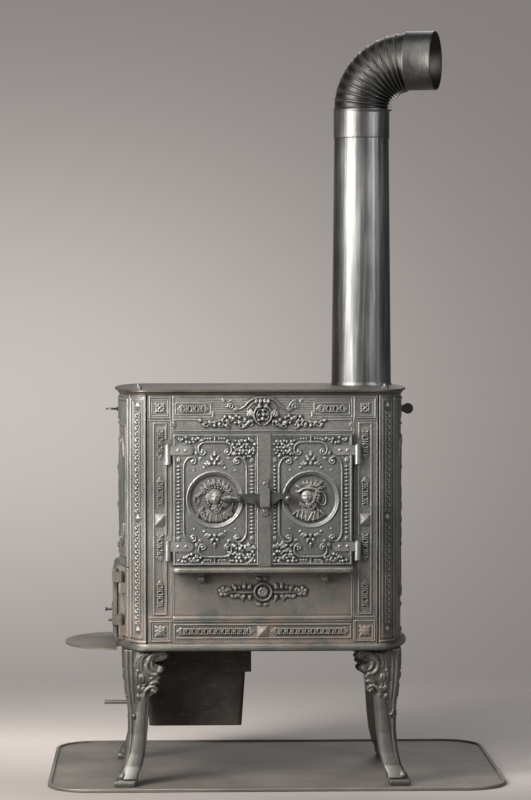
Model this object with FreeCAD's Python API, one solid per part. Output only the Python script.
import FreeCAD, Part
import math
import os

from FreeCAD import Vector

# Clearances shared by every fit, in millimetres
run_gap = 0.4
shaft_gap = 0.05
overrun = 15.0

# Sheet metal tray that the stove stands on
tray_width = 900.0
tray_depth = 580.0
tray_shift_x = 30.0
tray_shift_y = 65.0
tray_corner = 85.0
tray_sheet = 2.0
tray_rim_height = 6.0
tray_rim_width = 7.0

# Body plan: straight front and back, half-oval ends
flat_half = 224.4
half_depth = 180.0
end_reach = 56.6
wall = 5.0
pilaster_width = 34.6

# Heights of the castings
leg_height = 265.0
base_thick = 14.0
body_height = 484.4
top_thick = 10.0
base_lip = 11.0
top_lip = 9.0

# Legs
foot_beyond = 43.6
foot_inset = 15.0
foot_size = 41.0
foot_thick = 12.0
leg_corner = 7.0
wing_thick = 17.0
wing_inset = 4.0
wing_reach = 86.0
wing_height = 122.0
scroll_sides = 14
leg_bolt_place = 43.0
leg_bolt_radius = 4.0
leg_bolt_depth = 18.0
leg_bolt_head = 7.5
leg_bolt_head_thick = 6.0

# Tie rods that clamp the plates together
rod_beyond = 16.6
rod_inset = 50.0
back_rod_x = 120.0
back_rod_inset = 32.0
rod_radius = 3.5
rod_stud = 9.5
blind_rod_depth = 6.0
nut_radius = 7.0
nut_thick = 5.0

# Ironwork relief on the panels
bead = 2.6
bead_height = 2.0
rosette_size = 42.0
rosette_radius = 13.0
rosette_height = 3.5
strip_width = 26.8
strip_gap = 6.0
frieze_height = 70.0
skirt_low = 11.0
skirt_height = 27.0
ledge_height = 7.5
ledge_depth = 4.0
ledge_place = 54.4
shell_radius = 23.0
shell_height = 5.0
pyramid_half = 11.0
pyramid_height = 5.0
leaf_boss_radius = 18.0
leaf_boss_place = 101.0

# Oven and its two doors
door_half_width = 175.0
door_low = 152.0
door_height = 258.0
door_thick = 7.0
door_overlap = 10.0
door_meet_gap = 0.6
oven_wall = 5.0
oven_back_gap = 54.0
medallion_offset = 93.0
medallion_low = 129.5
medallion_radius = 55.8
medallion_rim = 7.0
medallion_rim_height = 4.0
medallion_field = 2.6
bust_radius = 26.0

# Door hinges
hinge_radius = 6.0
hinge_offset = 9.0
pin_radius = 3.0
pin_head = 4.6
pin_head_thick = 1.6
strap_height = 18.0
strap_length = 43.0
strap_thick = 3.0
upper_strap_low = 216.0
lower_strap_low = 29.0
door_rivet_radius = 3.4
door_rivet_height = 1.8
door_rivet_place = 20.0
door_rivet_pitch = 15.0

# Meeting strip, latch bar, keeper and catch
astragal_width = 23.0
astragal_over = 8.0
astragal_thick = 4.0
latch_x = 48.6
latch_low = 132.0
latch_eye = 10.6
latch_arm = 11.2
latch_bar = 21.0
latch_thick = 6.0
latch_bar_end = -50.0
latch_shoulder = 33.0
latch_shoulder_end = 19.0
latch_shank = 3.0
latch_collar = 7.0
latch_head = 5.0
latch_head_height = 2.2
spoon_length = 31.0
spoon_radius = 9.5
spoon_forward = 6.6
keeper_x = 3.0
keeper_width = 19.0
keeper_play = 5.4
keeper_thick = 4.0
keeper_tab = 18.0
keeper_tab_thick = 3.0
catch_width = 5.0
catch_height = 7.0

# Hearth shelf under the doors
shelf_half_width = 177.0
shelf_depth = 35.0
shelf_thick = 10.0
shelf_corner = 16.0
shelf_drop = 1.0
bracket_x = 120.0
bracket_width = 12.0
bracket_height = 20.0
bracket_depth = 24.0
bracket_curl = 7.0

# Fire door in the left end
fire_half_width = 105.0
fire_low = 6.0
fire_height = 135.0
fire_frame_inset = 5.0
fire_frame_face = 3.6
fire_frame_depth = 18.0
fire_rim = 15.0
fire_thick = 6.0
fire_hinge_radius = 5.0
fire_hinge_back = 8.0
fire_hinge_side = 7.0
fire_strap_height = 20.0
fire_strap_thick = 3.0
fire_strap_length = 50.0
fire_lug_height = 20.0
fire_upper_strap = 108.0
fire_lower_strap = 24.0

# Draught slide and turning latch on the fire door
slide_hole = 7.0
slide_pitch = 28.0
slide_travel = 14.0
slide_place = 37.0
slide_y = 0.0
slide_edge = 3.0
slide_grip = 12.0
slide_half_height = 13.0
slide_thick = 2.5
guide_width = 5.0
guide_lip = 2.5
guide_thick = 2.0
knob_neck = 2.5
knob_radius = 4.5
knob_reach = 12.5
fire_latch_y = 70.0
fire_latch_low = 9.0
fire_latch_eye = 8.0
fire_latch_arm = 8.0
fire_latch_length = 46.0
fire_latch_shank = 3.0
fire_latch_prong = 12.0
fire_keeper_width = 8.0
fire_keeper_height = 9.0

# Grate and fire bricks
chute_inset = 94.4
chute_half_length = 75.0
chute_side_ledge = 16.6
grate_seat = 8.0
grate_thick = 12.0
grate_slot = 8.0
grate_bar = 8.0
brick_thick = 22.0
brick_height = 112.0
brick_setback = 16.0

# Ash box hung under the base
frame_half_length = 110.0
frame_side_space = 88.0
frame_height = 53.0
frame_sheet = 3.0
frame_lip = 4.0
bin_half_length = 99.0
bin_flange = 3.4
bin_flange_thick = 3.0
bin_depth = 115.0
bin_taper = 7.5
bin_corner = 9.0
bin_sheet = 2.0
handle_radius = 4.0
handle_reach = 312.0
handle_height = 36.5
handle_pad = 11.0
handle_pad_thick = 2.0

# Ember plate beside the fire door
ember_reach = 105.0
ember_half_width = 132.0
ember_thick = 4.0
ember_tongue_half = 68.0
ember_tongue_length = 40.0
ember_bolt_y = 40.0
ember_bolt_inset = 23.0
ember_bolt_radius = 3.0
ember_bolt_head = 6.0
ember_bolt_head_thick = 4.0

# Damper flaps above the oven
damper_drop = 34.5
damper_half_height = 28.0
damper_length = 74.0
damper_inset = 24.0
damper_sheet = 3.0
damper_shaft = 4.0
damper_boss = 9.0
damper_boss_depth = 14.0
damper_neck = 6.0
damper_key_reach = 16.0
damper_key_radius = 10.7
damper_key_thick = 3.5

# Stovepipe and pleated elbow
pipe_inset = 14.4
pipe_back_inset = 80.0
pipe_low_radius = 60.8
pipe_high_radius = 55.3
pipe_sheet = 1.2
pipe_height = 524.0
elbow_slip = 24.0
pipe_bead_height = 6.0
pipe_bead = 1.6
seam_width = 7.0
seam_height = 1.0
seam_angle = -62.0
collar_height = 28.0
collar_wall = 3.0
elbow_collar = 58.0
elbow_radius = 56.8
elbow_sheet = 1.0
elbow_bend = 97.0
elbow_pleats = 11
pleat_depth = 4.0
elbow_mouth_radius = 59.2
elbow_mouth_length = 57.0
elbow_azimuth = -18.0

# Places worked out from the sizes above
base_low = tray_sheet + leg_height
base_top = base_low + base_thick
body_top = base_top + body_height
plate_top = body_top + top_thick
front_face = -half_depth
far = flat_half + end_reach + half_depth
frame_half_width = half_depth - frame_side_space
bin_half_width = frame_half_width - frame_sheet - frame_lip - run_gap
chute_half_width = bin_half_width - chute_side_ledge
brick_place = chute_half_width + brick_setback
foot_x = flat_half + foot_beyond
foot_y = half_depth - foot_inset
rod_x = flat_half + rod_beyond
rod_y = half_depth - rod_inset
back_rod_y = half_depth - back_rod_inset
chute_x = flat_half - chute_inset
pipe_x = flat_half - pipe_inset
pipe_y = half_depth - pipe_back_inset
pipe_seen = pipe_height - elbow_slip


def block(x0, x1, y0, y1, z0, z1):
    """Box between two corners given in any order."""
    low = Vector(min(x0, x1), min(y0, y1), min(z0, z1))
    return Part.makeBox(abs(x1 - x0), abs(y1 - y0), abs(z1 - z0), low)


def rod(start, direction, length, radius):
    """Round bar from a start point along a direction."""
    return Part.makeCylinder(radius, length, Vector(*start), Vector(*direction))


def drum(centre, length, radius):
    """Scroll end seen from the front: a disc with few sides, from a centre backwards."""
    points = []
    for turn in range(scroll_sides + 1):
        angle = 2 * math.pi * turn / scroll_sides
        points.append((centre[0] + radius * math.cos(angle), centre[1], centre[2] + radius * math.sin(angle)))
    return extrude(points[:-1], (0, length, 0))


def dome(centre, direction, radius, height):
    """Cap of a sphere with a given base radius and height."""
    ball = (radius * radius + height * height) / (2 * height)
    way = Vector(*direction)
    middle = Vector(*centre) - way * (ball - height)
    latitude = math.degrees(math.asin((ball - height) / ball))
    return Part.makeSphere(ball, middle, way, latitude, 90)


def rivet_head(centre, direction, radius, height):
    """Hammered head: a low cone with a flat top."""
    return Part.makeCone(radius, radius / 2, height, Vector(*centre), Vector(*direction))


def extrude(points, direction):
    """Straight-sided solid on a closed outline of points."""
    outline = [Vector(*point) for point in points]
    return Part.Face(Part.makePolygon(outline + [outline[0]])).extrude(Vector(*direction))


def fuse_all(solids):
    """One solid from a list of touching solids."""
    joined = solids[0]
    for solid in solids[1:]:
        joined = joined.fuse(solid)
    return joined.removeSplitter()


def group(solids):
    """Several separate solids kept in one node."""
    return Part.makeCompound(solids)


def mirror_x(shape):
    """The same shape on the other side of the middle, left for right."""
    return shape.mirror(Vector(0, 0, 0), Vector(1, 0, 0))


def mirror_y(shape):
    """The same shape on the other side of the middle, front for back."""
    return shape.mirror(Vector(0, 0, 0), Vector(0, 1, 0))


def save(name, shape):
    """Write one node."""
    shape.exportStep("parts/" + name + ".step")


def plan_wire(reach, z):
    """Outline of the body at a height, moved outwards by a reach."""
    rx = end_reach + reach
    ry = half_depth + reach
    edges = []
    for side in (-1, 1):
        edges.append(Part.makeLine(Vector(side * flat_half, side * ry, z), Vector(-side * flat_half, side * ry, z)))
        oval = Part.Ellipse(Vector(-side * flat_half, ry, z), Vector(-side * (flat_half + rx), 0, z),
                            Vector(-side * flat_half, 0, z))
        edges.append(Part.ArcOfEllipse(oval, 0, math.pi).toShape())
    return Part.Wire(Part.__sortEdges__(edges))


def plan_stack(levels):
    """Moulded plate through body outlines of given reach and height."""
    return Part.makeLoft([plan_wire(reach, z) for reach, z in levels], True, True)


def plan_shell(outer, inner, low, high):
    """Upright wall that follows the body's plan."""
    return plan_stack([(outer, low), (outer, high)]).cut(
        plan_stack([(inner, low - overrun), (inner, high + overrun)]))


def end_x(y, reach):
    """Distance of the oval end's surface from the middle at a given depth."""
    share = y / (half_depth + reach)
    return flat_half + (end_reach + reach) * math.sqrt(1 - share * share)


def rounded_wire(x0, x1, y0, y1, z, radius):
    """Level rectangle with round corners."""
    half = math.pi / 2
    edges = []
    corners = [(x1 - radius, y0 + radius, -half), (x1 - radius, y1 - radius, 0),
               (x0 + radius, y1 - radius, half), (x0 + radius, y0 + radius, math.pi)]
    for place, (cx, cy, start) in enumerate(corners):
        circle = Part.Circle(Vector(cx, cy, z), Vector(0, 0, 1), radius)
        edges.append(Part.Arc(circle, start, start + half).toShape())
        nx, ny, next_start = corners[(place + 1) % len(corners)]
        leave = Vector(cx + radius * math.cos(start + half), cy + radius * math.sin(start + half), z)
        arrive = Vector(nx + radius * math.cos(next_start), ny + radius * math.sin(next_start), z)
        edges.append(Part.makeLine(leave, arrive))
    return Part.Wire(edges)


def rounded_box(x0, x1, y0, y1, z0, z1, radius):
    """Upright prism on a rounded rectangle."""
    return Part.Face(rounded_wire(x0, x1, y0, y1, z0, radius)).extrude(Vector(0, 0, z1 - z0))


def front_frame(x0, x1, z0, z1, face, width, height):
    """Raised rectangular bead on a face that looks to the front."""
    outer = block(x0, x1, face, face - height, z0, z1)
    return outer.cut(block(x0 + width, x1 - width, face + overrun, face - overrun, z0 + width, z1 - width))


def floor_tray():
    x0 = tray_shift_x - tray_width / 2
    x1 = tray_shift_x + tray_width / 2
    y0 = tray_shift_y - tray_depth / 2
    y1 = tray_shift_y + tray_depth / 2
    edge = tray_rim_width
    tray = rounded_box(x0, x1, y0, y1, 0, tray_rim_height, tray_corner)
    hollow = rounded_box(x0 + edge, x1 - edge, y0 + edge, y1 - edge, tray_sheet, tray_rim_height + overrun,
                         tray_corner - edge)
    top_edges = [e for e in tray.Edges if e.BoundBox.ZMin > tray_rim_height / 2]
    return tray.makeFillet(tray_rim_width / 3, top_edges).cut(hollow)


# Leg section by height: share of leg height, outer and inner corner as shares of foot size
leg_shares = ((0.045, -0.32, 0.56), (0.08, -0.13, 0.66), (0.15, 0.03, 0.85), (0.25, 0.15, 0.99),
              (0.39, 0.22, 1.07), (0.54, 0.20, 1.12), (0.64, 0.12, 1.17), (0.80, 0.0, 1.22),
              (1.0, -0.03, 1.27))

# Outline of the pierced wing: shares of its reach and of its height down from the base
wing_outline_shares = ((0.40, 0.0), (0.89, 0.02), (0.88, 0.09), (0.76, 0.12), (0.69, 0.19), (0.70, 0.27),
                       (0.77, 0.34), (0.75, 0.48), (0.73, 0.56), (0.62, 0.64), (0.54, 0.80), (0.52, 1.0),
                       (0.40, 1.0))

# Scrolls on the wing: shares of its reach, of its height, and radius as a share of its height
scroll_shares = ((0.89, 0.095, 0.080), (0.80, 0.32, 0.072), (0.78, 0.465, 0.042), (0.765, 0.545, 0.042),
                 (0.635, 0.655, 0.080))


def leg_section(z, outer, inner, corner):
    """Square with cut corners, placed from the foot's centre towards the middle."""
    points = ((outer + corner, outer), (inner - corner, outer), (inner, outer + corner),
              (inner, inner - corner), (inner - corner, inner), (outer + corner, inner),
              (outer, inner - corner), (outer, outer + corner))
    line = [Vector(x - foot_x, y - foot_y, z) for x, y in points]
    return Part.makePolygon(line + [line[0]])


def leg_wing():
    """Scrolled bracket of the front-left leg, in the plane of the front."""
    low_y = wing_inset - foot_y
    flat = []
    for along, down in wing_outline_shares:
        flat.append((along * wing_reach - foot_x, low_y, base_low - down * wing_height))
    wing = extrude(flat, (0, wing_thick, 0))
    for along, down, size in scroll_shares:
        centre = (along * wing_reach - foot_x, low_y - wing_inset / 2, base_low - down * wing_height)
        wing = wing.fuse(drum(centre, wing_thick + wing_inset / 2, size * wing_height))
    return wing


def leg():
    """Front-left cabriole leg with one wing along the front and one along the end."""
    rings = []
    for height, outer, inner in leg_shares:
        z = tray_sheet + height * leg_height
        rings.append(leg_section(z, outer * foot_size, inner * foot_size, leg_corner))
    shank = Part.makeLoft(rings, True, False)
    half = foot_size / 2
    foot = block(-foot_x - half, -foot_x + half, -foot_y - half, -foot_y + half, tray_sheet,
                 tray_sheet + foot_thick)
    front_wing = leg_wing()
    diagonal = Vector(1, -1, 0)
    end_wing = front_wing.mirror(Vector(-foot_x, -foot_y, 0), diagonal)
    whole = fuse_all([shank, foot, front_wing, end_wing])
    hole = rod((leg_bolt_place - foot_x, leg_bolt_place - foot_y, base_low - leg_bolt_depth - run_gap),
               (0, 0, 1), leg_bolt_depth + overrun, leg_bolt_radius + shaft_gap)
    return whole.cut(hole)


def leg_bolts():
    """Four bolts through the base plate down into the legs."""
    bolts = []
    for sx in (-1, 1):
        for sy in (-1, 1):
            x = sx * (foot_x - leg_bolt_place)
            y = sy * (foot_y - leg_bolt_place)
            shank = rod((x, y, base_low - leg_bolt_depth), (0, 0, 1), leg_bolt_depth + base_thick, leg_bolt_radius)
            head = block(x - leg_bolt_head, x + leg_bolt_head, y - leg_bolt_head, y + leg_bolt_head, base_top,
                         base_top + leg_bolt_head_thick)
            bolts.append(shank.fuse(head))
    return group(bolts)


def rod_places():
    """Plan places of the tie rods: two that end in nuts, then two that screw into the cover, clear of the flue."""
    return ((-rod_x, -rod_y), (rod_x, -rod_y)), ((-back_rod_x, back_rod_y), (back_rod_x, back_rod_y))


def base_plate():
    """Moulded bottom casting with the opening over the ash box."""
    plate = plan_stack([(base_lip * 0.45, base_low), (base_lip, base_low + base_thick * 0.22),
                        (base_lip, base_low + base_thick * 0.5), (base_lip * 0.6, base_low + base_thick * 0.75),
                        (base_lip * 0.33, base_top)])
    plate = plate.cut(block(-chute_x - chute_half_length, -chute_x + chute_half_length, -chute_half_width,
                            chute_half_width, base_low - overrun, base_top + overrun))
    for sx in (-1, 1):
        for sy in (-1, 1):
            plate = plate.cut(rod((sx * (foot_x - leg_bolt_place), sy * (foot_y - leg_bolt_place),
                                   base_low - overrun), (0, 0, 1), base_thick + 2 * overrun,
                                  leg_bolt_radius + shaft_gap))
    for x, y in sum(rod_places(), ()):
        plate = plate.cut(rod((x, y, base_top - base_thick / 2), (0, 0, 1), base_thick + overrun,
                              rod_radius + shaft_gap))
    for sy in (-1, 1):
        plate = plate.cut(rod((-ember_bolt_x(), sy * ember_bolt_y, base_low - overrun), (0, 0, 1),
                              overrun + base_thick / 2, ember_bolt_radius + shaft_gap))
    return plate


def front_panel():
    """Flat front casting with frieze, side strips, lower field and skirting band."""
    panel = block(-flat_half, flat_half, front_face, front_face + wall, base_top, body_top)
    edge = flat_half - bead
    inner = edge - rosette_size
    skirt = base_top + skirt_low
    frieze = body_top - frieze_height
    relief = [front_frame(-edge, edge, base_top + bead, body_top - bead, front_face, bead, bead_height)]
    for side in (-1, 1):
        near, out = side * inner, side * edge
        x0, x1 = min(near, out), max(near, out)
        middle = (x0 + x1) / 2
        for low in (base_top + bead, body_top - bead - rosette_size):
            relief.append(front_frame(x0, x1, low, low + rosette_size, front_face, bead, bead_height))
            centre = (middle, front_face, low + rosette_size / 2)
            relief.append(dome(centre, (0, -1, 0), rosette_radius, rosette_height))
        relief.append(front_frame(middle - strip_width / 2, middle + strip_width / 2,
                                  base_top + rosette_size + 2 * strip_gap, body_top - rosette_size - 2 * strip_gap,
                                  front_face, bead, bead_height))
    relief.append(front_frame(-inner + strip_gap, inner - strip_gap, skirt, skirt + skirt_height, front_face, bead,
                              bead_height))
    relief.append(front_frame(-inner + strip_gap, inner - strip_gap, frieze, body_top - 2 * bead, front_face, bead,
                              bead_height))
    relief.append(block(-inner, inner, front_face, front_face - ledge_depth, base_top + ledge_place,
                        base_top + ledge_place - ledge_height))
    relief.append(dome((0, front_face, body_top - frieze_height / 2), (0, -1, 0), shell_radius, shell_height))
    relief.append(dome((0, front_face, base_top + leaf_boss_place), (0, -1, 0), leaf_boss_radius, shell_height))
    middle = skirt + skirt_height / 2
    corners = [(-pyramid_half, middle - pyramid_half), (pyramid_half, middle - pyramid_half),
               (pyramid_half, middle + pyramid_half), (-pyramid_half, middle + pyramid_half)]
    relief.append(pyramid(corners, front_face, pyramid_height))
    panel = fuse_all([panel] + relief)
    low, high = door_span()
    opening = door_half_width - door_overlap
    panel = panel.cut(block(-opening, opening, front_face - overrun, front_face + wall + overrun,
                            low + door_overlap, high - door_overlap))
    x, y = hinge_place()
    reach = hinge_radius + bead
    for level in strap_levels():
        for side in (-1, 1):
            panel = panel.cut(block(side * (x - reach), side * (x + reach), front_face, front_face - overrun,
                                    level - strap_height - bead, level + strap_height + bead))
    return panel


def pyramid(corners, face, height):
    """Low pyramid on a face that looks to the front."""
    base = [Vector(x, face, z) for x, z in corners]
    tip = Vector(sum(x for x, z in corners) / len(corners), face - height,
                 sum(z for x, z in corners) / len(corners))
    faces = [Part.Face(Part.makePolygon(base + [base[0]]))]
    for start, end in zip(base, base[1:] + base[:1]):
        faces.append(Part.Face(Part.makePolygon([start, end, tip, start])))
    return Part.makeSolid(Part.makeShell(faces))


def door_span():
    """Lowest and highest level of the oven doors."""
    return base_top + door_low, base_top + door_low + door_height


def back_panel():
    """Plain back casting with a raised border."""
    panel = block(-flat_half, flat_half, half_depth - wall, half_depth, base_top, body_top)
    edge = flat_half - bead
    outer = block(-edge, edge, half_depth, half_depth + bead_height, base_top + bead, body_top - bead)
    inner = edge - 2 * bead
    border = outer.cut(block(-inner, inner, half_depth - overrun, half_depth + overrun,
                             base_top + 3 * bead, body_top - 3 * bead))
    return fuse_all([panel, border])


def plan_slice(shape, x0, x1, y0, y1):
    """Part of an upright wall between two widths and two depths."""
    return shape.common(block(x0, x1, y0, y1, base_top - overrun, body_top + overrun))


def plan_strip(x0, x1, y0, y1, z0, z1):
    """Raised band that follows the plan, sunk half into the wall that carries it."""
    band = plan_shell(bead_height, -wall / 2, z0, z1)
    return plan_slice(band, x0, x1, y0, y1)


def front_right_pilaster():
    """Rounded corner casting with a raised upright frame."""
    outer_x = flat_half + pilaster_width
    shell = plan_shell(0, -wall, base_top, body_top)
    post = plan_slice(shell, flat_half, outer_x, -far, 0)
    low = base_top + 2 * bead
    high = body_top - 2 * bead
    solids = [post]
    for place in (flat_half + 2 * bead, outer_x - 3 * bead):
        solids.append(plan_strip(place, place + bead, -far, 0, low, high))
    for level in (low, high - bead):
        solids.append(plan_strip(flat_half + 2 * bead, outer_x - 2 * bead, -far, 0, level, level + bead))
    return fuse_all(solids)


def end_wall():
    """Oval end wall on the right side, between the two corner castings."""
    outer_x = flat_half + pilaster_width
    shell = plan_shell(0, -wall, base_top, body_top)
    solids = [plan_slice(shell, outer_x, far, -far, far)]
    low = base_top + 2 * bead
    high = body_top - 2 * bead
    for level in (low, high - bead):
        solids.append(plan_strip(outer_x + bead, far, -far, far, level, level + bead))
    boss_start = end_x(0, -wall / 2)
    solids.append(rod((boss_start - damper_boss_depth, 0, damper_z()), (1, 0, 0), damper_boss_depth, damper_boss))
    wall_piece = fuse_all(solids)
    return wall_piece.cut(rod((flat_half, 0, damper_z()), (1, 0, 0), far, damper_shaft + shaft_gap))


def damper_z():
    """Height of the damper shafts."""
    return body_top - damper_drop


def right_end_panel():
    return end_wall()


def fire_face():
    """Distance from the middle to the flat face that the fire door closes on."""
    return end_x(0, 0) + fire_frame_face


def left_end_panel():
    """Oval end wall with a flat frame round the fire opening."""
    panel = mirror_x(end_wall())
    half = fire_half_width - fire_frame_inset
    low = base_top + fire_low
    high = low + fire_height
    frame = block(-fire_face(), -fire_face() + fire_frame_depth + fire_frame_face, -half, half,
                  low - bead, high + bead)
    opening = block(-far, -flat_half, -half + fire_rim, half - fire_rim, low + fire_rim - bead,
                    high - fire_rim + bead)
    return fuse_all([panel, frame]).cut(opening)


def top_plate():
    """Moulded cover with the flue hole and holes for the tie rods."""
    plate = plan_stack([(top_lip * 0.3, body_top), (top_lip * 0.45, body_top + top_thick * 0.35),
                        (top_lip, body_top + top_thick * 0.6), (top_lip, body_top + top_thick * 0.85),
                        (top_lip * 0.8, plate_top)])
    plate = plate.cut(rod((pipe_x, pipe_y, body_top - overrun), (0, 0, 1), top_thick + 2 * overrun, flue_radius()))
    through, blind = rod_places()
    for places, depth in ((through, top_thick + overrun), (blind, blind_rod_depth)):
        for x, y in places:
            plate = plate.cut(rod((x, y, body_top - overrun), (0, 0, 1), overrun + depth, rod_radius + shaft_gap))
    return plate


def tie_rods():
    """Four long rods from the base plate to the cover."""
    rods = []
    start = base_top - base_thick / 2 + shaft_gap
    through, blind = rod_places()
    for places, end in ((through, plate_top + rod_stud), (blind, body_top + blind_rod_depth - shaft_gap)):
        for x, y in places:
            rods.append(rod((x, y, start), (0, 0, 1), end - start, rod_radius))
    return group(rods)


def tie_nuts():
    """Six-sided nuts on the cover, on the two front rods."""
    nuts = []
    for x, y in rod_places()[0]:
        corners = []
        for count in range(6):
            angle = math.pi * count / 3
            corners.append((x + nut_radius * math.cos(angle), y + nut_radius * math.sin(angle), plate_top))
        nut = extrude(corners, (0, 0, nut_thick))
        hole = rod((x, y, plate_top - overrun), (0, 0, 1), nut_thick + 2 * overrun, rod_radius + shaft_gap)
        nuts.append(nut.cut(hole))
    return group(nuts)


def oven_box():
    """Cast box behind the doors, open to the front, standing clear of the walls for the smoke."""
    low, high = door_span()
    opening = door_half_width - door_overlap
    inner = (-opening, opening, low + door_overlap, high - door_overlap)
    back = half_depth - wall - oven_back_gap
    outer = block(inner[0] - oven_wall, inner[1] + oven_wall, front_face + wall, back,
                  inner[2] - oven_wall, inner[3] + oven_wall)
    return outer.cut(block(inner[0], inner[1], front_face + wall - overrun, back - oven_wall, inner[2], inner[3]))


def firebrick(side):
    """Fire clay slab that stands on the base plate beside the grate."""
    return block(-chute_x - chute_half_length - grate_seat, -chute_x + chute_half_length + grate_seat,
                 side * brick_place, side * (brick_place + brick_thick), base_top, base_top + brick_height)


def grate():
    """Slotted cast grate that lies over the opening of the base plate."""
    half_x = chute_half_length + grate_seat - run_gap
    half_y = chute_half_width + grate_seat
    plate = block(-chute_x - half_x, -chute_x + half_x, -half_y, half_y, base_top, base_top + grate_thick)
    pitch = grate_slot + grate_bar
    count = int((2 * chute_half_length - grate_bar) / pitch)
    first = -chute_x - (count * pitch - grate_bar) / 2
    for place in range(count):
        x = first + place * pitch
        for side in (-1, 1):
            plate = plate.cut(block(x, x + grate_slot, side * grate_bar / 2, side * (chute_half_width - grate_seat),
                                    base_top - overrun, base_top + grate_thick + overrun))
    return plate


def flue_radius():
    """Radius of the passage from the body into the pipe."""
    return pipe_low_radius - pipe_sheet - shaft_gap - collar_wall


def flue_collar():
    """Short spigot on the cover that the pipe slips over."""
    taper = (pipe_low_radius - pipe_high_radius) * collar_height / pipe_height
    outer = flue_radius() + collar_wall - taper
    tube = rod((pipe_x, pipe_y, plate_top), (0, 0, 1), collar_height, outer)
    return tube.cut(rod((pipe_x, pipe_y, plate_top - overrun), (0, 0, 1), collar_height + 2 * overrun,
                        flue_radius()))


def stove_pipe():
    """Tapered sheet pipe with a lap seam and a rolled bead at its foot."""
    centre = Vector(pipe_x, pipe_y, plate_top)
    up = Vector(0, 0, 1)
    outer = Part.makeCone(pipe_low_radius, pipe_high_radius, pipe_height, centre, up)
    bead_ring = Part.makeCone(pipe_low_radius + pipe_bead, pipe_low_radius, pipe_bead_height, centre, up)
    slant = (pipe_low_radius - pipe_high_radius) / pipe_height
    seam = block(pipe_low_radius - 2 * pipe_sheet, pipe_low_radius + seam_height, -seam_width / 2, seam_width / 2,
                 0, pipe_seen)
    seam.rotate(Vector(pipe_low_radius, 0, 0), Vector(0, -1, 0), math.degrees(math.atan(slant)))
    seam.rotate(Vector(0, 0, 0), up, seam_angle)
    seam.translate(centre)
    seam = seam.common(block(-far, far, -far, far, plate_top, plate_top + pipe_seen))
    inner = Part.makeCone(pipe_low_radius - pipe_sheet, pipe_high_radius - pipe_sheet, pipe_height, centre, up)
    return fuse_all([outer, bead_ring, seam]).cut(inner)


def elbow_skin(inset, pleat):
    """Solid elbow through rings: straight collar, quarter bend with or without pleats, straight mouth."""
    start = plate_top + pipe_seen
    bend = start + elbow_collar
    heading = math.radians(elbow_azimuth)
    way = Vector(math.cos(heading), math.sin(heading), 0)
    hub = Vector(pipe_x, pipe_y, bend) + way * elbow_bend
    turn = Vector(-math.sin(heading), math.cos(heading), 0)
    plan = [(0, -elbow_collar, elbow_radius), (0, 0, elbow_radius)]
    for count in range(elbow_pleats):
        if count:
            plan.append((90 * count / elbow_pleats, 0, elbow_radius))
        if pleat:
            plan.append((90 * (count + 0.5) / elbow_pleats, 0, elbow_radius + pleat))
    plan.append((90, 0, elbow_mouth_radius))
    plan.append((90, elbow_mouth_length, elbow_mouth_radius))
    rings = []
    for angle, ahead, radius in plan:
        ring = Part.Wire(Part.makeCircle(radius - inset, Vector(pipe_x, pipe_y, bend + ahead)))
        ring.rotate(hub, turn, angle)
        rings.append(ring)
    return Part.makeLoft(rings, True, True)


def pipe_elbow():
    """Pleated sheet elbow that slips over the pipe."""
    return elbow_skin(0, pleat_depth).cut(elbow_skin(elbow_sheet, 0))


def hearth_shelf():
    """Narrow shelf under the doors with round corners and a nosing."""
    low, high = door_span()
    top = low - shelf_drop
    out = front_face - shelf_depth
    slab = rounded_box(-shelf_half_width, shelf_half_width, out, front_face + shelf_corner * 2, top - shelf_thick,
                       top, shelf_corner)
    slab = slab.common(block(-far, far, out - overrun, front_face, top - shelf_thick, top))
    nosing = [e for e in slab.Edges if e.BoundBox.YMax < front_face - bead and e.BoundBox.ZLength < bead]
    return slab.makeFillet(shelf_thick / 3, nosing)


def shelf_brackets():
    """Two curled brackets under the shelf."""
    low, high = door_span()
    under = low - shelf_drop - shelf_thick
    brackets = []
    for side in (-1, 1):
        x = side * bracket_x - bracket_width / 2
        outline = [(x, front_face, under), (x, front_face - bracket_depth, under),
                   (x, front_face - bracket_depth, under - bracket_curl / 2),
                   (x, front_face - bracket_curl, under - bracket_height / 2),
                   (x, front_face, under - bracket_height)]
        arm = extrude(outline, (bracket_width, 0, 0))
        curl = rod((x, front_face - bracket_curl, under - bracket_height + bracket_curl), (1, 0, 0), bracket_width,
                   bracket_curl)
        brackets.append(arm.fuse(curl).removeSplitter())
    return group(brackets)


def hinge_place():
    """Axis of the right door's hinges: distance from the middle and depth."""
    return door_half_width + hinge_offset, front_face - run_gap - hinge_radius


def strap_levels():
    """Lower edges of the two straps of each door."""
    return base_top + door_low + lower_strap_low, base_top + door_low + upper_strap_low


def door_hinge_lugs():
    """Lugs on the front casting that carry the lower halves of the hinge barrels."""
    x, y = hinge_place()
    lugs = []
    for strap in strap_levels():
        high = strap - run_gap
        low = strap - strap_height
        barrel = rod((x, y, low), (0, 0, 1), high - low, hinge_radius)
        root = block(x - hinge_radius, x + hinge_radius, y, front_face, low, high)
        hole = rod((x, y, low - overrun), (0, 0, 1), high - low + 2 * overrun, pin_radius + shaft_gap)
        lug = barrel.fuse(root).removeSplitter().cut(hole)
        lugs.append(lug)
        lugs.append(mirror_x(lug))
    return group(lugs)


def door_hinge_pins():
    """Pins dropped through the barrels from above."""
    x, y = hinge_place()
    pins = []
    for strap in strap_levels():
        low = strap - strap_height
        high = strap + strap_height + run_gap
        pin = rod((x, y, low), (0, 0, 1), high - low, pin_radius)
        pin = pin.fuse(rod((x, y, high), (0, 0, 1), pin_head_thick, pin_head))
        pins.append(pin)
        pins.append(mirror_x(pin))
    return group(pins)


def door_back():
    """Depth of the plane on which the closed doors lie."""
    return front_face - run_gap


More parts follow.
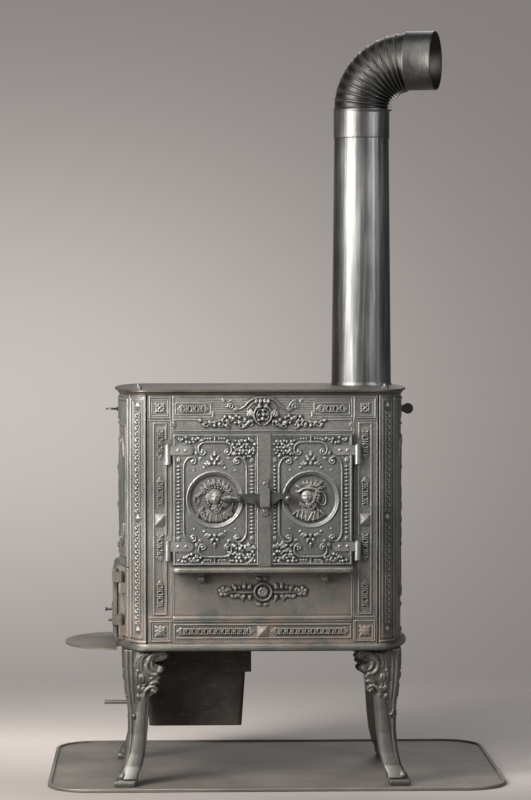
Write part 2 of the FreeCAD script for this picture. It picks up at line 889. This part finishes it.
def door_front():
    """Depth of the right door's outer face."""
    return door_back() - door_thick


def door_leaf(thick):
    """Right oven door with its border, round frame and portrait field."""
    low, high = door_span()
    back = door_back()
    face = back - thick
    leaf = block(door_meet_gap / 2, door_half_width, back, face, low, high)
    edge = door_half_width - bead
    inner_edge = astragal_width - astragal_over
    solids = [leaf]
    solids.append(front_frame(inner_edge + run_gap, edge, low + bead, high - bead, face, bead, bead_height))
    solids.append(front_frame(inner_edge + run_gap + 4 * bead, edge - 4 * bead, low + 4 * bead, high - 4 * bead,
                              face, bead, bead_height))
    middle = (medallion_offset, face, base_top + door_low + medallion_low)
    rim = rod(middle, (0, -1, 0), medallion_rim_height, medallion_radius)
    rim = rim.cut(rod(middle, (0, -1, 0), medallion_rim_height + overrun, medallion_radius - medallion_rim))
    solids.append(rim)
    solids.append(dome(middle, (0, -1, 0), bust_radius, medallion_field))
    straps = strap_levels()
    leaf = fuse_all(solids)
    for strap in straps:
        leaf = leaf.cut(block(door_half_width - strap_length + hinge_radius, far, face, face - overrun, strap,
                              strap + strap_height))
    return leaf


def right_door():
    seat = rod((latch_x, door_front(), latch_z()), (0, -1, 0), medallion_rim_height + overrun,
               latch_collar + run_gap)
    return door_leaf(door_thick).cut(seat)


def left_door():
    return mirror_x(door_leaf(door_thick - run_gap))


def door_straps(thick):
    """Hinge straps of the right door, each with the upper half of a barrel."""
    x, y = hinge_place()
    face = door_back() - thick
    straps = []
    for level in strap_levels():
        half = strap_height / 2
        left = x - hinge_radius - strap_length + half
        bar = block(left, x, face, face - strap_thick, level, level + strap_height)
        tip = rod((left, face, level + half), (0, -1, 0), strap_thick, half)
        barrel = rod((x, y, level), (0, 0, 1), strap_height, hinge_radius)
        hole = rod((x, y, level - overrun), (0, 0, 1), strap_height + 2 * overrun, pin_radius + shaft_gap)
        straps.append(bar.fuse(tip).fuse(barrel).removeSplitter().cut(hole))
    return group(straps)


def right_door_straps():
    return door_straps(door_thick)


def left_door_straps():
    return mirror_x(door_straps(door_thick - run_gap))


def door_rivets(thick):
    """Two domed rivet heads on each strap of the right door."""
    x, y = hinge_place()
    face = door_back() - thick - strap_thick
    heads = []
    for level in strap_levels():
        for place in (0, 1):
            at = x - door_rivet_place - place * door_rivet_pitch
            heads.append(rivet_head((at, face, level + strap_height / 2), (0, -1, 0), door_rivet_radius,
                                    door_rivet_height))
    return group(heads)


def right_door_rivets():
    return door_rivets(door_thick)


def left_door_rivets():
    return mirror_x(door_rivets(door_thick - run_gap))


def astragal():
    """Flat strip on the right door that covers the joint between the doors."""
    low, high = door_span()
    return block(-astragal_over, astragal_width - astragal_over, door_front(), door_front() - astragal_thick,
                 low, high)


def latch_z():
    """Height of the latch pivot."""
    return base_top + door_low + latch_low


def latch_back():
    """Depth of the latch bar's rear face."""
    return door_front() - astragal_thick - run_gap


def latch_keeper():
    """Bridge on the meeting strip that the latch bar moves in."""
    z = latch_z()
    seat = door_front() - astragal_thick
    inner_front = latch_back() - latch_thick - run_gap
    x0 = keeper_x - keeper_width / 2
    x1 = keeper_x + keeper_width / 2
    top = z + latch_eye + keeper_play
    low = z + latch_eye - latch_bar - 3 * run_gap
    bridge = block(x0, x1, seat, inner_front - keeper_thick, low - keeper_thick, top + keeper_thick)
    bridge = bridge.cut(block(x0 - overrun, x1 + overrun, seat + overrun, inner_front, low, top))
    upper = block(x0 + bead, x1 - bead, seat, seat - keeper_tab_thick, top + keeper_thick,
                  top + keeper_thick + keeper_tab)
    lower = block(x0 + bead, x1 - bead, seat, seat - keeper_tab_thick, low - keeper_thick,
                  low - keeper_thick - keeper_tab)
    return fuse_all([bridge, upper, lower])


def keeper_rivets():
    """Rivet heads on the keeper's two tabs."""
    z = latch_z()
    seat = door_front() - astragal_thick - keeper_tab_thick
    top = z + latch_eye + keeper_play + keeper_thick
    low = z + latch_eye - latch_bar - 3 * run_gap - keeper_thick
    heads = []
    for level in (top + keeper_tab / 2, low - keeper_tab / 2):
        heads.append(rivet_head((keeper_x, seat, level), (0, -1, 0), door_rivet_radius, door_rivet_height))
    return group(heads)


def latch_rivet():
    """Shouldered rivet on the right door that the latch turns on."""
    z = latch_z()
    collar = rod((latch_x, door_front(), z), (0, -1, 0), astragal_thick, latch_collar)
    shank_length = latch_thick + 2 * run_gap
    shank = rod((latch_x, door_front() - astragal_thick, z), (0, -1, 0), shank_length, latch_shank)
    head = rivet_head((latch_x, door_front() - astragal_thick - shank_length, z), (0, -1, 0), latch_head,
                      latch_head_height)
    return fuse_all([collar, shank, head])


# Spoon handle: shares of its length and of its largest radius
spoon_shares = ((0.0, 0.5), (0.45, 1.0), (0.8, 0.85), (1.0, 0.3))


def latch_bar_piece():
    """Flat latch bar with a round eye, a deep nose and a swelling spoon handle."""
    z = latch_z()
    y = latch_back()
    top = z + latch_eye
    low = top - latch_bar
    outline = [(latch_x, y, top), (latch_x, y, top - latch_arm), (latch_shoulder, y, top - latch_arm),
               (latch_shoulder_end, y, low), (latch_bar_end, y, low + latch_bar / 8),
               (latch_bar_end, y, top - latch_bar / 10)]
    bar = extrude(outline, (0, -latch_thick, 0))
    eye = rod((latch_x, y, z), (0, -1, 0), latch_thick, latch_eye)
    centre_y = y - latch_thick / 2 - spoon_forward
    centre_z = top - latch_bar / 2
    neck = spoon_radius / 2
    spoon = []
    for start, end in zip(spoon_shares, spoon_shares[1:]):
        foot = Vector(latch_bar_end - start[0] * spoon_length, centre_y, centre_z)
        spoon.append(Part.makeCone(start[1] * spoon_radius, end[1] * spoon_radius, (end[0] - start[0]) * spoon_length,
                                   foot, Vector(-1, 0, 0)))
    neck_block = block(latch_bar_end, latch_bar_end + latch_thick, y - latch_thick, centre_y - neck,
                       centre_z - neck, centre_z + neck)
    whole = fuse_all([bar, eye, neck_block] + spoon)
    hole = rod((latch_x, y + overrun, z), (0, -1, 0), latch_thick + 2 * overrun, latch_shank + shaft_gap)
    return whole.cut(hole)


def latch_catch():
    """Small rest on the left door under the latch bar."""
    z = latch_z() + latch_eye - latch_bar - run_gap
    face = door_back() - door_thick + run_gap
    x1 = -astragal_over - run_gap
    return block(x1 - catch_width, x1, face, latch_back() - latch_thick, z - catch_height, z)


def fire_hinge_place():
    """Axis of the fire door's hinges."""
    return -fire_face() - run_gap + fire_hinge_back, -fire_half_width - fire_hinge_side


def fire_back():
    """Distance from the middle to the inner face of the closed fire door."""
    return fire_face() + run_gap


def fire_door():
    """Flat fire door with a raised border and three draught holes."""
    low = base_top + fire_low
    high = low + fire_height
    back = -fire_back()
    face = back - fire_thick
    leaf = block(back, face, -fire_half_width, fire_half_width, low, high)
    border = block(face, face - bead_height, -fire_half_width + bead, fire_half_width - bead, low + bead,
                   high - bead)
    border = border.cut(block(face + overrun, face - overrun, -fire_half_width + 3 * bead,
                              fire_half_width - 3 * bead, low + 3 * bead, high - 3 * bead))
    leaf = fuse_all([leaf, border])
    for strap in fire_strap_levels():
        leaf = leaf.cut(block(face, face - overrun, -far, -fire_half_width + fire_strap_length, strap,
                              strap + fire_strap_height))
    for count in (-1, 0, 1):
        leaf = leaf.cut(rod((back + overrun, slide_y + count * slide_pitch, low + slide_place), (-1, 0, 0),
                            fire_thick + 2 * overrun, slide_hole))
    notch = block(face, face - overrun, fire_latch_y - fire_latch_eye - run_gap, far,
                  fire_latch_z() - fire_latch_eye - run_gap, high - 3 * bead)
    return leaf.cut(notch)


def fire_strap_levels():
    """Lower edges of the fire door's straps."""
    low = base_top + fire_low
    return low + fire_lower_strap, low + fire_upper_strap


def fire_door_straps():
    """Straps of the fire door, each bent round to a barrel."""
    x, y = fire_hinge_place()
    face = -fire_back() - fire_thick
    straps = []
    for level in fire_strap_levels():
        bar = block(face, face - fire_strap_thick, y, -fire_half_width + fire_strap_length - bead, level,
                    level + fire_strap_height)
        bend = block(face - fire_strap_thick, x, y - fire_hinge_radius, -fire_half_width - run_gap, level,
                     level + fire_strap_height)
        barrel = rod((x, y, level), (0, 0, 1), fire_strap_height, fire_hinge_radius)
        hole = rod((x, y, level - overrun), (0, 0, 1), fire_strap_height + 2 * overrun, pin_radius + shaft_gap)
        straps.append(fuse_all([bar, bend, barrel]).cut(hole))
    return group(straps)


def fire_door_hinge_lugs(panel):
    """Lugs on the left end that carry the fire door's pins."""
    x, y = fire_hinge_place()
    lugs = []
    for level in fire_strap_levels():
        high = level - run_gap
        low = high - fire_lug_height
        inner_x = -end_x(y, 0)
        barrel = rod((x, y, low), (0, 0, 1), fire_lug_height, fire_hinge_radius)
        root = block(x, inner_x + wall, y - fire_hinge_radius, y + fire_hinge_radius, low, high)
        body = plan_stack([(0, base_top), (0, body_top)])
        lug = barrel.fuse(root).cut(body).removeSplitter()
        pin = rod((x, y, low), (0, 0, 1), fire_lug_height + fire_strap_height + 2 * run_gap, pin_radius)
        head = rod((x, y, level + fire_strap_height + run_gap), (0, 0, 1), pin_head_thick, pin_head)
        lugs.append(fuse_all([lug, pin, head]))
    return group(lugs).cut(panel)


def slide_span():
    """First and last place of the closed slide along the fire door."""
    return (slide_y - slide_travel - slide_pitch - slide_hole - slide_edge,
            slide_y + slide_pitch + slide_hole + slide_edge + slide_grip)


def slide_guides():
    """Two guide strips that hold the draught slide to the fire door."""
    z = base_top + fire_low + slide_place
    face = -fire_back() - fire_thick
    guides = []
    for side in (-1, 1):
        inner = z + side * (slide_half_height + run_gap)
        outer = inner + side * guide_width
        lip = inner - side * guide_lip
        y0, y1 = slide_span()
        y1 = y1 + slide_travel
        foot = block(face, face - slide_thick - 2 * run_gap, y0, y1, inner, outer)
        cover = block(face - slide_thick - 2 * run_gap, face - slide_thick - 2 * run_gap - guide_thick, y0, y1,
                      lip, outer)
        guides.append(foot.fuse(cover).removeSplitter())
    return group(guides)


def draft_slide():
    """Shutter with three holes and a knob."""
    z = base_top + fire_low + slide_place
    back = -fire_back() - fire_thick - run_gap
    y0, y1 = slide_span()
    plate = block(back, back - slide_thick, y0, y1, z - slide_half_height, z + slide_half_height)
    for count in (-1, 0, 1):
        y = slide_y - slide_travel + count * slide_pitch
        plate = plate.cut(rod((back + overrun, y, z), (-1, 0, 0), slide_thick + 2 * overrun, slide_hole))
    y = y1 - slide_grip / 2
    neck = rod((back - slide_thick, y, z), (-1, 0, 0), knob_reach, knob_neck)
    button = Part.makeCone(knob_neck, knob_radius, knob_radius, Vector(back - slide_thick - knob_reach, y, z),
                           Vector(-1, 0, 0))
    return fuse_all([plate, neck, button])


def fire_latch_z():
    """Height of the fire door latch's pivot."""
    return base_top + fire_low + fire_latch_low


def fire_latch():
    """Turning latch of the fire door with a round prong to lift it by."""
    z = fire_latch_z()
    back = -fire_back() - fire_thick - run_gap
    eye = rod((back, fire_latch_y, z), (-1, 0, 0), fire_strap_thick, fire_latch_eye)
    arm = block(back, back - fire_strap_thick, fire_latch_y, fire_latch_y + fire_latch_length,
                z - fire_latch_arm / 2, z + fire_latch_arm / 2)
    prong = rod((back - fire_strap_thick, fire_latch_y + fire_latch_length / 2, z), (-1, 0, 0), fire_latch_prong,
                knob_neck)
    hole = rod((back + overrun, fire_latch_y, z), (-1, 0, 0), fire_strap_thick + 2 * overrun,
               fire_latch_shank + shaft_gap)
    return fuse_all([eye, arm, prong]).cut(hole)


def fire_latch_rivet():
    """Rivet that holds the latch to the fire door."""
    z = fire_latch_z()
    face = -fire_back() - fire_thick
    length = fire_strap_thick + 2 * run_gap
    shank = rod((face, fire_latch_y, z), (-1, 0, 0), length, fire_latch_shank)
    head = rivet_head((face - length, fire_latch_y, z), (-1, 0, 0), fire_latch_shank * 2, door_rivet_height)
    return fuse_all([shank, head])


def fire_latch_keeper(panel):
    """Rest on the left end under the nose of the fire door latch."""
    z = fire_latch_z() - fire_latch_arm / 2 - run_gap
    y0 = fire_half_width + 2 * run_gap
    reach = fire_back() + fire_thick + run_gap + fire_strap_thick
    stub = block(-reach, -end_x(y0, 0) + wall * 2, y0, y0 + fire_keeper_width, z - fire_keeper_height, z)
    return stub.cut(plan_stack([(0, base_low), (0, body_top)])).cut(panel)


def ash_frame():
    """Sheet band under the base plate with ledges that the ash bin slides on."""
    x0 = -chute_x - frame_half_length
    x1 = -chute_x + frame_half_length
    low = base_low - frame_height
    band = block(x0, x1, -frame_half_width, frame_half_width, low, base_low)
    inner = frame_half_width - frame_sheet
    band = band.cut(block(x0 + frame_sheet, x1 - frame_sheet, -inner, inner, low + frame_sheet,
                          base_low + overrun))
    ledge = inner - frame_lip
    mouth_top = low + frame_sheet + bin_flange_thick * 3
    floor_cut = block(x0 - overrun, x1 - frame_sheet, -ledge, ledge, low - overrun, mouth_top)
    mouth = block(x0 - overrun, x0 + frame_sheet + overrun, -inner, inner, low + frame_sheet, mouth_top)
    return band.cut(floor_cut).cut(mouth)


def bin_top():
    """Upper face of the ash bin's flange."""
    return base_low - frame_height + frame_sheet + run_gap + bin_flange_thick


def ash_bin():
    """Tapered sheet bin with a flange that hangs on the ledges."""
    x0 = -chute_x - bin_half_length
    x1 = -chute_x + bin_half_length
    high = bin_top()
    low = high - bin_depth
    t = bin_taper
    w = bin_half_width
    outer = Part.makeLoft([rounded_wire(x0 + t, x1 - t, -w + t, w - t, low, bin_corner),
                           rounded_wire(x0, x1, -w, w, high, bin_corner)], True, True)
    s = bin_sheet
    inner = Part.makeLoft([rounded_wire(x0 + t + s, x1 - t - s, -w + t + s, w - t - s, low + s, bin_corner - s),
                           rounded_wire(x0 + s, x1 - s, -w + s, w - s, high + s, bin_corner - s)], True, True)
    f = bin_flange
    flange = rounded_box(x0 - f, x1 + f, -w - f, w + f, high - bin_flange_thick, high, bin_corner)
    return fuse_all([outer, flange]).cut(inner)


def ash_bin_handle():
    """Round bar on a pad riveted to the bin's left end."""
    z = bin_top() - bin_depth + handle_height
    share = handle_height / bin_depth
    wall_x = -chute_x - bin_half_length + bin_taper * (1 - share)
    pad_low = -chute_x - bin_half_length
    pad = rod((wall_x, 0, z), (-1, 0, 0), wall_x - pad_low + handle_pad_thick, handle_pad)
    bar = rod((wall_x, 0, z), (-1, 0, 0), handle_reach + wall_x, handle_radius)
    x0 = -chute_x - bin_half_length
    t = bin_taper
    w = bin_half_width
    body = Part.makeLoft([rounded_wire(x0 + t, 0, -w + t, w - t, bin_top() - bin_depth, bin_corner),
                          rounded_wire(x0, 0, -w, w, bin_top(), bin_corner)], True, True)
    return fuse_all([pad, bar]).cut(body)


def ember_bolt_x():
    """Distance of the ember plate's bolts from the middle."""
    return fire_back() - ember_bolt_inset


def ember_shelf():
    """Half-oval plate at the left end that catches embers; its straight edge lies under the fire door."""
    low = base_low - ember_thick
    chord_x = -fire_back()
    middle = Vector(chord_x, 0, low)
    tip = Vector(chord_x - ember_reach, 0, low)
    corners = [Vector(chord_x, side * ember_half_width, low) for side in (1, -1)]
    quarter = math.pi / 2
    if ember_reach > ember_half_width:
        arc = Part.ArcOfEllipse(Part.Ellipse(tip, corners[0], middle), -quarter, quarter).toShape()
    else:
        arc = Part.ArcOfEllipse(Part.Ellipse(corners[0], tip, middle), 0, 2 * quarter).toShape()
    plate = Part.Face(Part.Wire([arc, Part.makeLine(*corners)])).extrude(Vector(0, 0, ember_thick))
    tongue = block(chord_x, chord_x + ember_tongue_length, -ember_tongue_half, ember_tongue_half, low, base_low)
    plate = fuse_all([plate, tongue])
    for side in (-1, 1):
        plate = plate.cut(rod((-ember_bolt_x(), side * ember_bolt_y, low - overrun), (0, 0, 1),
                              ember_thick + 2 * overrun, ember_bolt_radius + shaft_gap))
    return plate


def ember_shelf_bolts():
    """Two bolts from below through the ember plate into the base plate."""
    low = base_low - ember_thick
    bolts = []
    for side in (-1, 1):
        y = side * ember_bolt_y
        head = rod((-ember_bolt_x(), y, low - ember_bolt_head_thick), (0, 0, 1), ember_bolt_head_thick,
                   ember_bolt_head)
        shank = rod((-ember_bolt_x(), y, low), (0, 0, 1), ember_thick + base_thick / 2 - run_gap, ember_bolt_radius)
        bolts.append(head.fuse(shank))
    return group(bolts)


def damper_shaft_piece():
    """Shaft of the right damper; outside it is hammered flat into a drop-shaped key, blade upright."""
    z = damper_z()
    wall_x = end_x(0, 0)
    neck_x = wall_x + run_gap
    inner = wall_x - damper_inset - damper_length
    shaft = rod((inner, 0, z), (1, 0, 0), wall_x + damper_neck - inner, damper_shaft)
    key_x = wall_x + damper_key_reach
    half = damper_key_thick / 2
    slope = math.asin((damper_key_radius - damper_shaft) / (key_x - neck_x))
    touch_x = key_x - damper_key_radius * math.sin(slope)
    touch_z = damper_key_radius * math.cos(slope)
    cheek = extrude([(neck_x, -half, z - damper_shaft), (touch_x, -half, z - touch_z), (touch_x, -half, z + touch_z),
                     (neck_x, -half, z + damper_shaft)], (0, damper_key_thick, 0))
    key = rod((key_x, -half, z), (0, 1, 0), damper_key_thick, damper_key_radius)
    return fuse_all([shaft, cheek, key])


def damper_flap():
    """Upright flap of the right damper, split by the shaft that it is riveted to."""
    z = damper_z()
    x1 = end_x(0, 0) - damper_inset
    x0 = x1 - damper_length
    half = damper_sheet / 2
    flap = block(x0, x1, -half, half, z - damper_half_height, z + damper_half_height)
    sleeve = rod((x0, 0, z), (1, 0, 0), damper_length, damper_shaft + damper_sheet)
    return fuse_all([flap, sleeve]).cut(rod((x0 - overrun, 0, z), (1, 0, 0), damper_length + 2 * overrun,
                                            damper_shaft + shaft_gap))


def turned(shape):
    """The left damper's pieces: mirrored, with the blade lying level."""
    other = mirror_x(shape)
    other.rotate(Vector(0, 0, damper_z()), Vector(1, 0, 0), 90)
    return other


def build():
    """Write every node of the stove."""
    front_left = leg()
    front_right_post = front_right_pilaster()
    left_panel = left_end_panel()
    save("floor_tray", floor_tray())
    save("front_left_leg", front_left)
    save("front_right_leg", mirror_x(front_left))
    save("back_left_leg", mirror_y(front_left))
    save("back_right_leg", mirror_x(mirror_y(front_left)))
    save("leg_bolts", leg_bolts())
    save("base_plate", base_plate())
    save("front_panel", front_panel())
    save("back_panel", back_panel())
    save("left_end_panel", left_panel)
    save("right_end_panel", right_end_panel())
    save("front_right_pilaster", front_right_post)
    save("front_left_pilaster", mirror_x(front_right_post))
    save("back_right_pilaster", mirror_y(front_right_post))
    save("back_left_pilaster", mirror_x(mirror_y(front_right_post)))
    save("top_plate", top_plate())
    save("tie_rods", tie_rods())
    save("tie_nuts", tie_nuts())
    save("oven_box", oven_box())
    save("front_firebrick", firebrick(-1))
    save("back_firebrick", firebrick(1))
    save("grate", grate())
    save("flue_collar", flue_collar())
    save("stove_pipe", stove_pipe())
    save("pipe_elbow", pipe_elbow())
    save("hearth_shelf", hearth_shelf())
    save("shelf_brackets", shelf_brackets())
    save("door_hinge_lugs", door_hinge_lugs())
    save("door_hinge_pins", door_hinge_pins())
    save("right_door", right_door())
    save("left_door", left_door())
    save("right_door_straps", right_door_straps())
    save("left_door_straps", left_door_straps())
    save("right_door_rivets", right_door_rivets())
    save("left_door_rivets", left_door_rivets())
    save("astragal", astragal())
    save("latch_keeper", latch_keeper())
    save("keeper_rivets", keeper_rivets())
    save("latch_rivet", latch_rivet())
    save("latch_bar", latch_bar_piece())
    save("latch_catch", latch_catch())
    save("fire_door_hinge_lugs", fire_door_hinge_lugs(left_panel))
    save("fire_latch_keeper", fire_latch_keeper(left_panel))
    save("fire_door", fire_door())
    save("fire_door_straps", fire_door_straps())
    save("slide_guides", slide_guides())
    save("draft_slide", draft_slide())
    save("fire_latch", fire_latch())
    save("fire_latch_rivet", fire_latch_rivet())
    save("ash_frame", ash_frame())
    save("ash_bin", ash_bin())
    save("ash_bin_handle", ash_bin_handle())
    save("ember_shelf", ember_shelf())
    save("ember_shelf_bolts", ember_shelf_bolts())
    save("right_damper_shaft", damper_shaft_piece())
    save("right_damper_flap", damper_flap())
    save("left_damper_shaft", turned(damper_shaft_piece()))
    save("left_damper_flap", turned(damper_flap()))


os.makedirs("parts", exist_ok=True)
build()
